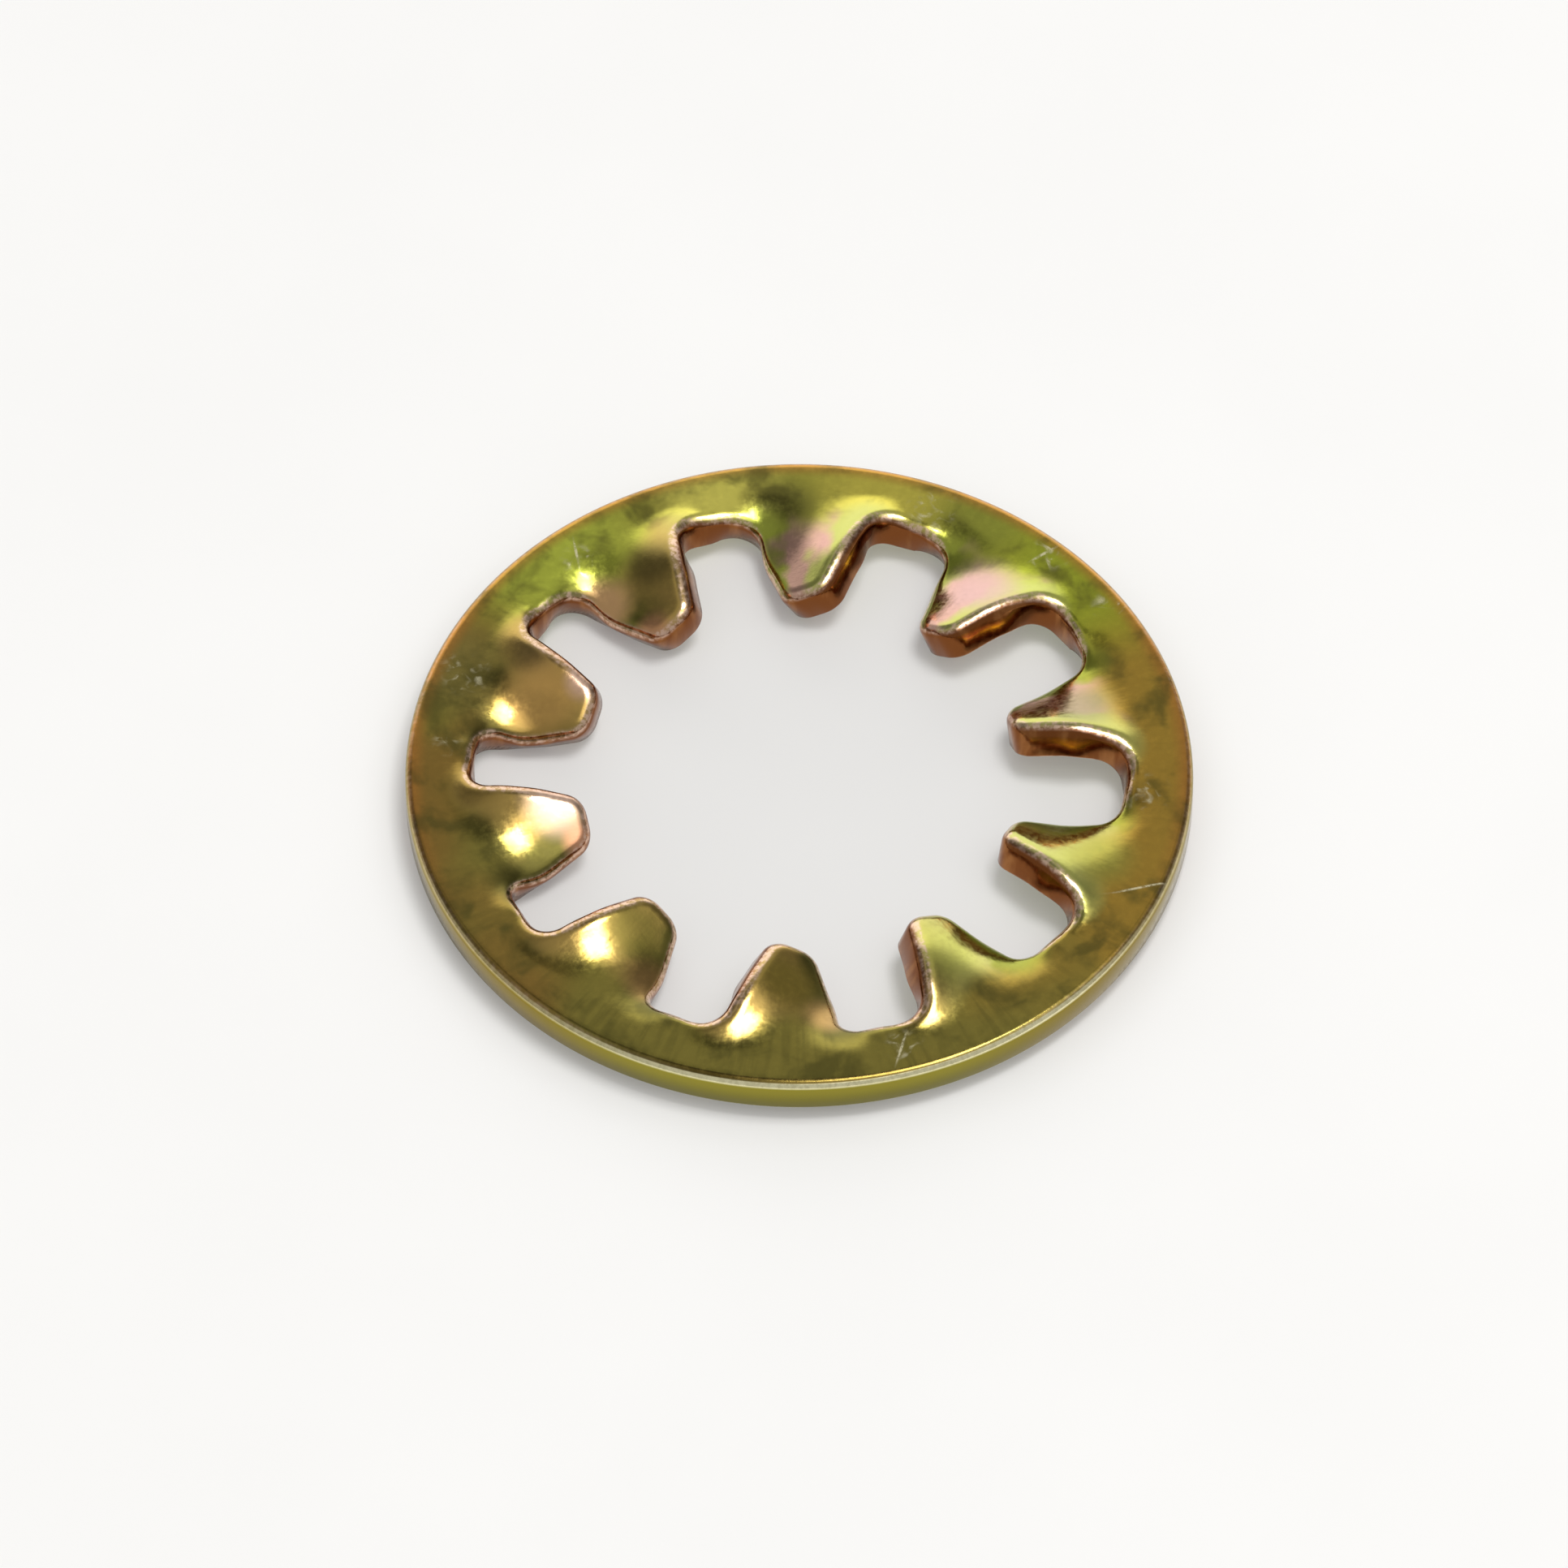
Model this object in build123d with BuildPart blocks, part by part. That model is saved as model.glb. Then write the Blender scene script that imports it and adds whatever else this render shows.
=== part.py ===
"""Toothed lock washer with internal teeth, stamped from one piece of spring steel.

The blank is punched from flat plate: a ring with teeth that point at its centre.
Each tooth is then twisted about its own radial line, so that one corner of its tip
stands above the ring and the other hangs below it. The plate is bent smoothly from
the flat ring into each tooth, and its cut walls stay square to the bent plate.

Frame: millimetres, +Z is the washer's axis. The origin is on that axis, in the plane
that the lowest tooth corners stand on. One tooth points along +X.
"""

from build123d import *
from math import comb, isclose, radians, sin, tan
import os

# --- Driving dimensions: the ring ---
outer_diameter = 15.0
root_diameter = 12.4  # circle that the slots between the teeth end on
thickness = 0.7
rim_edge_radius = 0.12  # drawn-in top edge of the punched rim

# --- Driving dimensions: the teeth ---
tooth_count = 10
tip_diameter = 8.32  # circle through the tips, the hole that the screw passes
tip_width = 0.79  # between the flanks, on the tip circle
flank_angle = 22.0  # of each flank to the middle line of its tooth
tip_corner_radius = 0.4
root_fillet_radius = 0.45
twist_angle = 33.0  # of a tooth about its own middle line, at that line

# --- Driving dimensions: the bend between ring and tooth ---
bend_reach = 0.47  # how far outside the root circle the ring is still bent
flat_land = 0.18  # flat strip on the root circle between one tooth's bend and the next
net_overrun = 0.23  # control net beyond the tooth tip

# --- Control net of a bent tooth's middle surface ---
net_rows = 7  # from the hole outwards
level_rows = 2  # outer rows, which keep the surface level with the ring
net_columns = 11  # across the tooth
level_columns = 2  # columns on each side that do the same

# --- Derived sizes ---
outer_radius = outer_diameter / 2
root_radius = root_diameter / 2
tip_radius = tip_diameter / 2
half_pitch = radians(360 / tooth_count / 2)
net_inner_x = tip_radius - net_overrun
net_outer_x = root_radius + bend_reach
net_half_width = root_radius * sin(half_pitch) - flat_land / 2
radius_tolerance = 1e-4
surface_tolerance = 1e-3


def tooth_half_width(x):
    """Half the width of the punched tooth at the distance x from the washer's axis."""
    return tip_width / 2 + (x - tip_radius) * tan(radians(flank_angle))


def corners_at(builder, radius):
    """Corners of a sketch that lie on a circle about the washer's axis."""
    return builder.vertices().filter_by(
        lambda corner: isclose(Vector(corner).length, radius, abs_tol=radius_tolerance)
    )


def net_place(column):
    """Place of a column across the control net, from -1 on one side to 1 on the other."""
    return 2 * column / (net_columns - 1) - 1


def net_lift(column):
    """Lift of a column for each unit of twist: its place across, or nothing on the level sides."""
    is_level = column < level_columns or column >= net_columns - level_columns
    return 0 if is_level else net_place(column)


# The surface is less steep than its control net, by this share, on the tooth's middle line.
steps = net_columns - 1
slope_share = (
    steps
    / 2**steps
    * sum(comb(steps - 1, step) * (net_lift(step + 1) - net_lift(step)) for step in range(steps))
)
net_slope = tan(radians(twist_angle)) / slope_share


def net_point(row, column):
    """Point of the control net, twisted about the tooth's middle line and level at its edges."""
    x = net_inner_x + (net_outer_x - net_inner_x) * row / (net_rows - 1)
    y = net_half_width * net_place(column)
    is_twisted = row < net_rows - level_rows
    z = -net_half_width * net_lift(column) * net_slope if is_twisted else 0
    return (x, y, z)


# The punched outline: a ring, teeth that grow out of it and the rounded corners of both.
anchor_x = (root_radius + outer_radius) / 2
with BuildSketch() as outline:
    Circle(outer_radius)
    Circle(root_radius, mode=Mode.SUBTRACT)
    with BuildSketch(mode=Mode.PRIVATE) as tooth_wedge:
        with BuildLine():
            Polyline(
                (net_inner_x, -tooth_half_width(net_inner_x)),
                (anchor_x, -tooth_half_width(anchor_x)),
                (anchor_x, tooth_half_width(anchor_x)),
                (net_inner_x, tooth_half_width(net_inner_x)),
                close=True,
            )
        make_face()
    with PolarLocations(0, tooth_count):
        add(tooth_wedge.sketch)
    Circle(tip_radius, mode=Mode.SUBTRACT)
    fillet(corners_at(outline, root_radius), root_fillet_radius)
    fillet(corners_at(outline, tip_radius), tip_corner_radius)

# One bent tooth. Its middle surface is cut to the outline and offset half the thickness down,
# and the plate is raised from there, so that every cut wall stays square to the bent plate.
net = [[net_point(row, column) for column in range(net_columns)] for row in range(net_rows)]
with BuildPart() as punch:
    add(outline.sketch)
    extrude(amount=outer_radius, both=True)
middle_surface = Face.make_bezier_surface(net) & punch.part
with BuildPart() as lower_half:
    thicken(middle_surface, amount=thickness / 2, normal_override=(0, 0, -1))
lower_surface = lower_half.faces().filter_by(GeomType.OFFSET)[0]
with BuildPart() as bent_tooth:
    thicken(lower_surface, amount=thickness, normal_override=(0, 0, 1))

# The flat ring, with the drawn-in edge of its rim and a window for each bent tooth.
with BuildPart() as ring:
    add(outline.sketch)
    extrude(amount=thickness / 2, both=True)
    rim_edges = ring.edges().filter_by(GeomType.CIRCLE).group_by(SortBy.RADIUS)[-1]
    fillet(rim_edges.sort_by(Axis.Z)[-1:], rim_edge_radius)
    with PolarLocations(0, tooth_count):
        Box(
            net_outer_x,
            2 * net_half_width,
            thickness,
            align=(Align.MIN, Align.CENTER, Align.CENTER),
            mode=Mode.SUBTRACT,
        )

# Ring and teeth are one plate: the walls where they meet go, and the rest is sewn together.
skin = ring.faces().filter_by(Plane.XY) + ring.faces().filter_by(GeomType.PLANE, reverse=True)
for turn in PolarLocations(0, tooth_count):
    skin += [face.moved(turn) for face in bent_tooth.faces().filter_by(GeomType.PLANE, reverse=True)]
washer_body = Solid(Shell(skin))

# Stood on its lowest tooth corners.
lowest_corner = min(corner.Z for corner in washer_body.tessellate(surface_tolerance)[0])
with BuildPart() as lock_washer:
    add(washer_body.moved(Location((0, 0, -lowest_corner))))
lock_washer.part.label = "lock_washer"

os.makedirs("parts", exist_ok=True)
export_step(lock_washer.part, "parts/lock_washer.step")
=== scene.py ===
"""A toothed lock washer of yellow zinc plated spring steel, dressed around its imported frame.

The washer is one stamped piece, modelled here as a fine mesh. The plan of half a tooth is
mirrored and spun into the whole ring, thickened flat and rounded along its punched edges. Last
the teeth are bent: each point keeps its distance from the plate's middle surface. Lengths are
millimetres while the mesh is made, and metres in the finished scene.
"""

import logging
import math
from collections.abc import Sequence
from dataclasses import dataclass, field
from enum import Enum

import bmesh
import bpy
from mathutils import Matrix, Vector


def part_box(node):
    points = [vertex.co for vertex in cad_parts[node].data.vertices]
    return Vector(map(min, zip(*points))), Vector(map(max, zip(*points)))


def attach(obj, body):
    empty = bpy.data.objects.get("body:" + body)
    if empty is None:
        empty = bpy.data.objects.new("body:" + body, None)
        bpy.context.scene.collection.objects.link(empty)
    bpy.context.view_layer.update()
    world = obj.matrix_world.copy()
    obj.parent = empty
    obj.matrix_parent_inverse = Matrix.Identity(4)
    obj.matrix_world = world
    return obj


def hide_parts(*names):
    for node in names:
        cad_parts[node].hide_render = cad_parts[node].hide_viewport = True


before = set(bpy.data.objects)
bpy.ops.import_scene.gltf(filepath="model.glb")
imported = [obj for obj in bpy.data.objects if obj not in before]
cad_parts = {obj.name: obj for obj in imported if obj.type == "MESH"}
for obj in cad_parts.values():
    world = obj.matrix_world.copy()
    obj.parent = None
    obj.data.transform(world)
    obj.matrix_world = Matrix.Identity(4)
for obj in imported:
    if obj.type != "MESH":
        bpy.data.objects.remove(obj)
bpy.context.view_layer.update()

NODE = "lock_washer"
MM = 0.001
FULL_TURN = 2 * math.pi
UP = Vector((0, 0, 1))

Socket = bpy.types.NodeSocket
Number = Socket | float
Colour = tuple[float, float, float]
Tint = Socket | Colour
Edges = list[bmesh.types.BMEdge]
Verts = list[bmesh.types.BMVert]

log = logging.getLogger("lock_washer")


def smoothstep(value: float, low: float, high: float) -> float:
    """Ease from 0 at low to 1 at high.

    Args:
        value: The number to place between the two limits.
        low: Where the result leaves 0.
        high: Where the result reaches 1.

    Returns:
        The eased share, from 0 to 1.
    """
    share = min(max((value - low) / (high - low), 0.0), 1.0)
    return share * share * (3 - 2 * share)


class CutAttribute(Enum):
    """Names of the numbers that the mesh carries for its finish."""

    CUT = "cut"
    TWIST = "twist"
    ACROSS = "across"


@dataclass(frozen=True)
class ToothOutline:
    """Plan outline of one tooth and half the slot on each side of it, in millimetres."""

    root_radius: float = 6.2
    tip_radius: float = 4.16
    tip_half_width: float = 0.395
    flank_angle: float = math.radians(22)
    tip_corner_radius: float = 0.43
    root_fillet_radius: float = 0.45
    teeth: int = 10
    tip_points: int = 3
    corner_points: int = 9
    flank_points: int = 14
    fillet_points: int = 9
    slot_points: int = 6

    @property
    def half_pitch(self) -> float:
        """Half the angle from one tooth to the next."""
        return math.pi / self.teeth

    def half_width(self, x: float) -> float:
        """Half the width of a tooth at a distance from the axis, before its fillets."""
        return self.tip_half_width + max(x - self.tip_radius, 0.0) * math.tan(self.flank_angle)

    def half_points(self) -> list[Vector]:
        """Walk from the middle of the tip to the middle of the slot.

        Returns:
            Points in the plan, with the tooth's middle line along +X.
        """
        sine, cosine = math.sin(self.flank_angle), math.cos(self.flank_angle)
        along, across = Vector((cosine, sine)), Vector((-sine, cosine))
        flank_start = Vector((self.tip_radius, self.tip_half_width))
        corner_reach = self.tip_corner_radius * math.tan((math.pi / 2 - self.flank_angle) / 2)
        corner_end = flank_start + along * corner_reach
        corner_centre = corner_end - across * self.tip_corner_radius
        offset_line = flank_start + across * self.root_fillet_radius
        reach = self.root_radius - self.root_fillet_radius
        down_line = offset_line.dot(along)
        slack = offset_line.length_squared - reach**2
        fillet_centre = offset_line + along * (math.sqrt(down_line**2 - slack) - down_line)
        flank_end = fillet_centre - across * self.root_fillet_radius
        fillet_end = fillet_centre.normalized() * self.root_radius
        points = self._straight(Vector((self.tip_radius, 0)),
                                corner_centre - Vector((self.tip_corner_radius, 0)),
                                self.tip_points)
        points += self._arc(corner_centre, self.tip_corner_radius,
                            math.pi, math.atan2(across.y, across.x), self.corner_points)
        points += self._straight(corner_end, flank_end, self.flank_points)
        points += self._arc(fillet_centre, self.root_fillet_radius,
                            math.atan2(-across.y, -across.x),
                            math.atan2(fillet_end.y - fillet_centre.y,
                                       fillet_end.x - fillet_centre.x),
                            self.fillet_points)
        start = math.atan2(fillet_end.y, fillet_end.x)
        points += self._arc(Vector((0, 0)), self.root_radius, start, self.half_pitch,
                            self.slot_points)
        return points + [Vector((math.cos(self.half_pitch), math.sin(self.half_pitch)))
                         * self.root_radius]

    @staticmethod
    def _straight(start: Vector, end: Vector, count: int) -> list[Vector]:
        """Points from start towards end, without the end itself."""
        return [start.lerp(end, step / count) for step in range(count)]

    @staticmethod
    def _arc(centre: Vector, radius: float, first: float, last: float,
             count: int) -> list[Vector]:
        """Points of an arc from the first angle towards the last, without its end.

        Args:
            centre: Centre of the arc.
            radius: Radius of the arc.
            first: Angle that the arc starts at.
            last: Angle that it ends at, taken the short way round.
            count: How many points to make.

        Returns:
            The points in order.
        """
        sweep = (last - first + math.pi) % FULL_TURN - math.pi
        angles = [first + sweep * step / count for step in range(count)]
        return [centre + Vector((math.cos(angle), math.sin(angle))) * radius
                for angle in angles]


@dataclass(frozen=True)
class ToothBend:
    """How the plate is bent from the flat ring into its twisted teeth, in millimetres.

    Attributes:
        twist: Angle that a tooth is turned by about its middle line.
        full_radius: Distance from the axis within which the bend is full.
        flat_radius: Distance from the axis beyond which the ring is flat.
        full_half_width: Distance beside a tooth within which the ring bends too.
        flat_half_width: Distance beside a tooth beyond which the ring stays flat.
        blade_radius: Distance from the axis where that flat starts to count.
        margin_radius: Distance from the axis where it counts in full.
        crown: Rise of a blade's middle over its sides.
        crown_half_width: Distance to the side at which the crown has fallen away.
        probe: Step that the surface's slope is measured over.
    """

    twist: float = math.radians(30.2)
    full_radius: float = 4.886
    flat_radius: float = 6.753
    full_half_width: float = 0.88
    flat_half_width: float = 1.89
    blade_radius: float = 4.995
    margin_radius: float = 5.595
    crown: float = 0.045
    crown_half_width: float = 0.8
    probe: float = 0.12

    def height(self, x: float, y: float) -> float:
        """Height of the plate's middle surface above the ring's own.

        Args:
            x: Distance along the tooth's middle line from the washer's axis.
            y: Distance to the side of that line, positive against the clock.

        Returns:
            The height, negative where the tooth hangs down.
        """
        ramp = 1 - smoothstep(x, self.full_radius, self.flat_radius)
        beside = smoothstep(abs(y), self.full_half_width, self.flat_half_width)
        in_ring = smoothstep(x, self.blade_radius, self.margin_radius)
        arch = self.crown * ((y / self.crown_half_width) ** 2 - 1)
        return -(math.tan(self.twist) * y + arch) * ramp * (1 - beside * in_ring)

    def normal(self, x: float, y: float) -> Vector:
        """Direction square to the bent plate.

        Args:
            x: Distance along the tooth's middle line from the washer's axis.
            y: Distance to the side of that line, positive against the clock.

        Returns:
            The unit normal, with the tooth's middle line along +X.
        """
        slope_x = self.height(x + self.probe, y) - self.height(x - self.probe, y)
        slope_y = self.height(x, y + self.probe) - self.height(x, y - self.probe)
        return Vector((-slope_x, -slope_y, 2 * self.probe)).normalized()


@dataclass(frozen=True)
class Ease:
    """A soft step from start to end, while a number goes from low to high."""

    low: float
    high: float
    start: float = 0.0
    end: float = 1.0


@dataclass(frozen=True)
class Grain:
    """How fine and how broken a noise pattern is."""

    scale: float
    detail: float = 2.0
    roughness: float = 0.5
    distortion: float = 0.0


class Nodes:
    """A small drawing board for one node tree."""

    def __init__(self, tree: bpy.types.NodeTree) -> None:
        """Clear the tree and keep it."""
        self.tree = tree
        tree.nodes.clear()

    def add(self, kind: str, inputs: dict | None = None, **settings: object) -> bpy.types.Node:
        """Add a node.

        Args:
            kind: The node's type name.
            inputs: Socket name or index to a value or to the output socket that feeds it.
            **settings: The node's own properties.

        Returns:
            The new node.
        """
        node = self.tree.nodes.new(kind)
        for name, value in settings.items():
            setattr(node, name, value)
        for name, value in (inputs or {}).items():
            if isinstance(value, Socket):
                self.tree.links.new(value, node.inputs[name])
            else:
                node.inputs[name].default_value = value
        return node

    def combine(self, operation: str, first: Number, second: Number = 0.0) -> Socket:
        """Socket of what an operation makes of two numbers."""
        return self.add("ShaderNodeMath", {0: first, 1: second}, operation=operation).outputs[0]

    def times(self, first: Number, *others: Number) -> Socket:
        """Multiply numbers.

        Args:
            first: The first number.
            *others: The numbers to multiply it by, one after the other.

        Returns:
            The product's socket.
        """
        product = first
        for other in others:
            product = self.combine("MULTIPLY", product, other)
        return product

    def plus(self, first: Number, second: Number) -> Socket:
        """Socket of the sum of two numbers."""
        return self.combine("ADD", first, second)

    def ease(self, value: Number, step: Ease) -> Socket:
        """Put a number through a soft step.

        Args:
            value: The number.
            step: The step.

        Returns:
            The eased number's socket.
        """
        node = self.add("ShaderNodeMapRange", {
            "Value": value, "From Min": step.low, "From Max": step.high,
            "To Min": step.start, "To Max": step.end}, interpolation_type="SMOOTHSTEP")
        return node.outputs["Result"]

    def mix(self, share: Number, first: Tint, second: Tint) -> Socket:
        """Mix two colours.

        Args:
            share: Share of the second colour.
            first: The colour at share 0.
            second: The colour at share 1.

        Returns:
            The mixed colour's socket.
        """
        node = self.add("ShaderNodeMix", {"Factor": share}, data_type="RGBA")
        colours = [socket for socket in node.inputs if socket.type == "RGBA"]
        for socket, value in zip(colours, (first, second)):
            if isinstance(value, Socket):
                self.tree.links.new(value, socket)
            else:
                socket.default_value = (*value, 1.0)
        return next(socket for socket in node.outputs if socket.type == "RGBA")

    def noise(self, place: Socket, grain: Grain) -> Socket:
        """Socket of fractal noise over a place, from 0 to 1."""
        settings = {name.title(): value for name, value in vars(grain).items()}
        return self.add("ShaderNodeTexNoise", {"Vector": place, **settings}).outputs[0]

    def swing(self, place: Socket, grain: Grain, reach: float) -> Socket:
        """Socket of fractal noise that swings by half its reach to both sides of 0."""
        return self.times(self.combine("SUBTRACT", self.noise(place, grain), 0.5), reach)

    def parts(self, vector: Socket) -> bpy.types.bpy_prop_collection:
        """The X, Y and Z sockets of a vector."""
        return self.add("ShaderNodeSeparateXYZ", {"Vector": vector}).outputs

    def length(self, vector: Socket) -> Socket:
        """Socket of a vector's length."""
        return self.add("ShaderNodeVectorMath", {0: vector}, operation="LENGTH").outputs["Value"]

    def gap(self, flat: Socket, right: float, away: float) -> Socket:
        """Socket of the distance from a place in the plan to a fixed point."""
        inputs = {0: flat, 1: (right, away, 0)}
        return self.add("ShaderNodeVectorMath", inputs, operation="DISTANCE").outputs["Value"]

    def attribute(self, name: CutAttribute) -> Socket:
        """The socket of a number that the mesh carries."""
        return self.add("ShaderNodeAttribute", attribute_name=name.value).outputs["Fac"]

    def millimetres(self) -> Socket:
        """Scale the object coordinates to millimetres.

        Returns:
            The coordinates' socket.
        """
        coordinates = self.add("ShaderNodeTexCoord").outputs["Object"]
        inputs = {"Vector": coordinates, "Scale": (1 / MM, 1 / MM, 1 / MM)}
        return self.add("ShaderNodeMapping", inputs).outputs["Vector"]


@dataclass(frozen=True)
class View:
    """Where the washer is seen from, in the frame's millimetres and radians."""

    azimuth: float = math.radians(-14.851)
    elevation: float = math.radians(52.61)
    roll: float = math.radians(0.10)
    distance: float = 256.1
    nearest: float = 10.0
    pixels_per_mm: float = 64.72
    right_shift: float = -0.2891
    up_shift: float = -0.0972
    picture_pixels: int = 1932
    sensor: float = 36.0

    def turned(self, x: float, y: float, z: float = 0.0) -> Vector:
        """Turn a direction, given as right, away and up in the view, into the frame."""
        return Matrix.Rotation(self.azimuth, 3, "Z") @ Vector((x, y, z))

    def place_camera(self, centre: Vector) -> None:
        """Put the camera in the scene.

        Args:
            centre: Middle of the ring, in millimetres.
        """
        back = self.turned(0, -math.cos(self.elevation), math.sin(self.elevation))
        level_right = self.turned(1, 0)
        level_up = back.cross(level_right)
        right = level_right * math.cos(self.roll) - level_up * math.sin(self.roll)
        up = level_right * math.sin(self.roll) + level_up * math.cos(self.roll)
        data = bpy.data.cameras.new("view")
        data.sensor_width = self.sensor
        data.lens = self.sensor * self.pixels_per_mm * self.distance / self.picture_pixels
        data.clip_start = self.nearest * MM
        camera = bpy.data.objects.new("view", data)
        place = centre + back * self.distance + right * self.right_shift + up * self.up_shift
        basis = Matrix((right, up, back)).transposed().to_4x4()
        camera.matrix_world = Matrix.Translation(place * MM) @ basis
        bpy.context.scene.collection.objects.link(camera)
        bpy.context.scene.camera = camera


@dataclass(frozen=True)
class Spot:
    """Sockets that say where on the washer a point lies, in millimetres.

    Attributes:
        nodes: The tree that they are drawn in.
        solid: The place in the washer's own frame.
        flat: The place in the plan, as X right and Y away in the view.
        right: Distance to the right in the view.
        away: Distance away in the view.
        radius: Distance from the washer's axis.
        cut: 0 on the plate's faces and 1 on its punched walls.
        grain: Fine noise, from 0 to 1.
    """

    nodes: Nodes
    solid: Socket
    flat: Socket
    right: Socket
    away: Socket
    radius: Socket
    cut: Socket
    grain: Socket

    @classmethod
    def read(cls, nodes: Nodes, azimuth: float, grain: Grain) -> "Spot":
        """Draw the nodes that find the place.

        Args:
            nodes: The tree to draw in.
            azimuth: Angle that the view is turned by about the washer's axis.
            grain: Settings of the fine noise.

        Returns:
            The sockets.
        """
        solid = nodes.millimetres()
        lain = nodes.add("ShaderNodeVectorRotate", {"Vector": solid, "Angle": -azimuth},
                         rotation_type="Z_AXIS").outputs["Vector"]
        parts = nodes.parts(lain)
        right, away = parts["X"], parts["Y"]
        flat = nodes.add("ShaderNodeCombineXYZ", {"X": right, "Y": away}).outputs[0]
        return cls(nodes, solid, flat, right, away, nodes.length(flat),
                   nodes.attribute(CutAttribute.CUT), nodes.noise(solid, grain))


@dataclass(frozen=True)
class Scuff:
    """A worn mark on the plating, placed in millimetres and turned in degrees in the view."""

    right: float
    away: float
    length: float
    width: float
    turn: float = 0.0


@dataclass(frozen=True)
class Fleck:
    """A cluster of bare flecks, placed in millimetres as the washer lies in the view."""

    right: float
    away: float
    reach: float


@dataclass(frozen=True)
class Glaze:
    """A soft patch of another colour, placed in millimetres as the washer lies: film colour on
    the ring, and on the blades film tint, painted highlight and painted shade.
    """

    right: float
    away: float
    reach: float
    share: float
    colour: Colour


@dataclass(frozen=True)
class PlateFilm:
    """The uneven yellow, green and orange film on the plate's faces, with pink and pale green
    painted highlights and painted shade on the bent blades.
    """

    # Ring film colours first. On the blades, green, pink and pale_green make the painted
    # highlight side, and blade and shade the painted shade side; shade also darkens the ring's
    # random clouds and strokes.
    front: Colour = (0.33, 0.275, 0.060)
    back: Colour = (0.46, 0.43, 0.072)
    green: Colour = (0.37, 0.42, 0.060)
    left: Colour = (0.35, 0.21, 0.050)
    right: Colour = (0.54, 0.33, 0.056)
    shade: Colour = (0.13, 0.115, 0.030)
    rim_orange: Colour = (0.56, 0.25, 0.055)
    pink: Colour = (0.72, 0.41, 0.36)
    pale_green: Colour = (0.58, 0.60, 0.17)
    blade: Colour = (0.56, 0.37, 0.110)

    # Where the ring's colours lie
    drift: Grain = Grain(0.45, 1.0)
    drift_reach: float = 7.0
    to_back: Ease = Ease(0.0, 5.0)
    to_left: Ease = Ease(-7.5, -4.5, 0.9, 0.0)
    to_right: Ease = Ease(3.8, 6.8, 0.0, 0.9)
    near_rim: Ease = Ease(7.05, 7.42)
    orange_away: Ease = Ease(-4.0, 0.0)
    orange_share: float = 0.9

    # Clouds and radial strokes of shade
    clouds: Grain = Grain(1.2, 3.0, 0.55, 0.3)
    cloud_share: Ease = Ease(0.45, 0.72, 0.0, 0.72)
    stroke_share: Ease = Ease(0.40, 0.70, 0.0, 0.40)
    stroke_away: Ease = Ease(-5.5, -1.5, 1.0, 0.2)
    stroke_patches: Grain = Grain(0.9, 2.0)
    stroke_patch_share: Ease = Ease(0.36, 0.62, 0.25, 1.0)

    # Bands across the blades: painted highlight on the side towards the back and right, painted
    # shade on the side towards the front and left
    waver: Grain = Grain(1.2, 2.0)
    waver_reach: float = 1.6
    pink_across: Ease = Ease(-0.55, -0.10)
    pink_away: Ease = Ease(-1.5, 1.5, 0.1, 1.0)
    green_across: Ease = Ease(0.30, 0.70)
    shade_across: Ease = Ease(-0.20, 0.60)
    lit_lean: float = 0.45
    lit_side: Ease = Ease(-0.4, 1.2)
    blade_share: Ease = Ease(0.25, 0.85, 0.0, 0.85)

    # Soft patches, the last on top
    glaze_core: float = 0.25
    ring_glazes: tuple[Glaze, ...] = (
        Glaze(-1.6, 6.9, 1.7, 1.0, (0.95, 0.86, 0.170)),
        Glaze(1.7, 7.0, 2.0, 0.9, (0.76, 0.66, 0.110)),
        Glaze(5.2, 4.6, 2.6, 0.9, (0.50, 0.56, 0.050)),
        Glaze(-4.8, 5.2, 2.5, 0.85, (0.66, 0.74, 0.095)),
        Glaze(3.5, 5.9, 1.2, 0.7, (0.38, 0.41, 0.065)),
        Glaze(-6.5, 2.4, 1.5, 0.9, (0.32, 0.25, 0.068)),
        Glaze(-0.3, 6.3, 1.0, 0.8, (0.20, 0.19, 0.045)))
    # On the blades: film tints together with painted highlights (the pale pink and white patches
    # at the tips) and painted shade (the dark patches by the teeth's roots)
    blade_glazes: tuple[Glaze, ...] = (
        Glaze(-2.85, 4.9, 0.8, 0.75, (0.17, 0.13, 0.040)),
        Glaze(-4.9, 2.7, 0.8, 0.6, (0.26, 0.18, 0.080)),
        Glaze(-6.0, -0.6, 0.6, 0.6, (0.28, 0.19, 0.050)),
        Glaze(-0.25, -5.1, 0.8, 0.8, (0.48, 0.36, 0.070)),
        Glaze(3.5, 4.3, 1.0, 0.8, (0.66, 0.42, 0.390)),
        Glaze(5.4, 1.45, 0.9, 0.7, (0.32, 0.30, 0.150)),
        Glaze(5.6, -2.1, 1.0, 0.8, (0.44, 0.43, 0.085)),
        Glaze(2.7, -4.4, 1.0, 0.7, (0.62, 0.62, 0.130)),
        Glaze(-4.9, 1.7, 1.1, 0.65, (0.74, 0.43, 0.130)),
        Glaze(-4.6, -0.85, 0.9, 0.85, (0.86, 0.60, 0.470)),
        Glaze(-3.1, -3.9, 0.9, 0.8, (0.23, 0.19, 0.040)),
        Glaze(-2.8, -4.9, 0.7, 0.7, (0.56, 0.33, 0.120)),
        Glaze(0.5, -5.7, 0.6, 0.7, (0.62, 0.38, 0.140)),
        Glaze(-4.1, 1.95, 0.5, 0.8, (0.95, 0.62, 0.480)),
        Glaze(-4.1, -1.6, 0.5, 0.8, (0.74, 0.36, 0.210)),
        Glaze(-3.7, 4.15, 0.7, 0.7, (0.80, 0.46, 0.230)),
        Glaze(-2.8, 3.45, 0.5, 0.7, (0.72, 0.35, 0.190)))

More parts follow.
